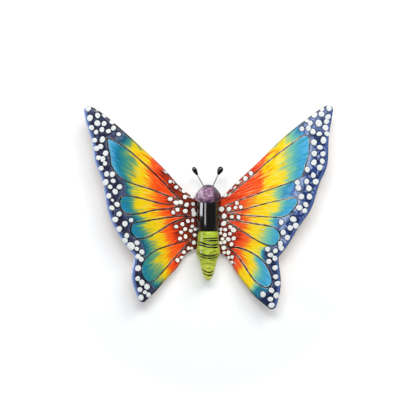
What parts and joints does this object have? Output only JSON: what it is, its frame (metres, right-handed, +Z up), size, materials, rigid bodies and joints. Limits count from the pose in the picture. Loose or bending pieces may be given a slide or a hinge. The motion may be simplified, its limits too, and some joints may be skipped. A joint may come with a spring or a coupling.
{
  "type": "butterfly wall ornament",
  "caption": "Ceramic butterfly for a wall: arched slab wings, a half-round body, a ball head with beaded wire antennae, and a wire hanger that swings behind the head.",
  "frame": {"origin": "middle of the flat strip behind the body that rests against the wall, on the seam between the wings and 31.5 mm below the top of the thorax", "axes": "+Z up, towards the head; +Y into the wall, square to it; +X to the right as seen from in front"},
  "size_m": [0.3006, 0.0356, 0.2466],
  "materials": {
    "wing_glaze": "gloss",
    "thorax_glaze": "gloss",
    "abdomen_glaze": "gloss",
    "head_glaze": "gloss",
    "bead_glaze": "gloss",
    "antenna_wire": "satin",
    "hanger_wire": "satin"
  },
  "bodies": {
    "ceramic_body": {"left_wing": "wing_glaze", "right_wing": "wing_glaze", "thorax": "thorax_glaze", "abdomen": "abdomen_glaze", "head": "head_glaze", "hanger_lug": "head_glaze", "left_antenna_wire": "antenna_wire", "right_antenna_wire": "antenna_wire", "left_antenna_bead": "bead_glaze", "right_antenna_bead": "bead_glaze"},
    "hanger": {"hanger_ring": "hanger_wire"}
  },
  "joints": [
    {"name": "hanger_swing", "type": "hinge", "parent": "ceramic_body", "child": "hanger", "pos_m": [0, -0.0046, 0.03516], "axis": [-1, 0, 0], "range_deg": [0, 145]}
  ]
}
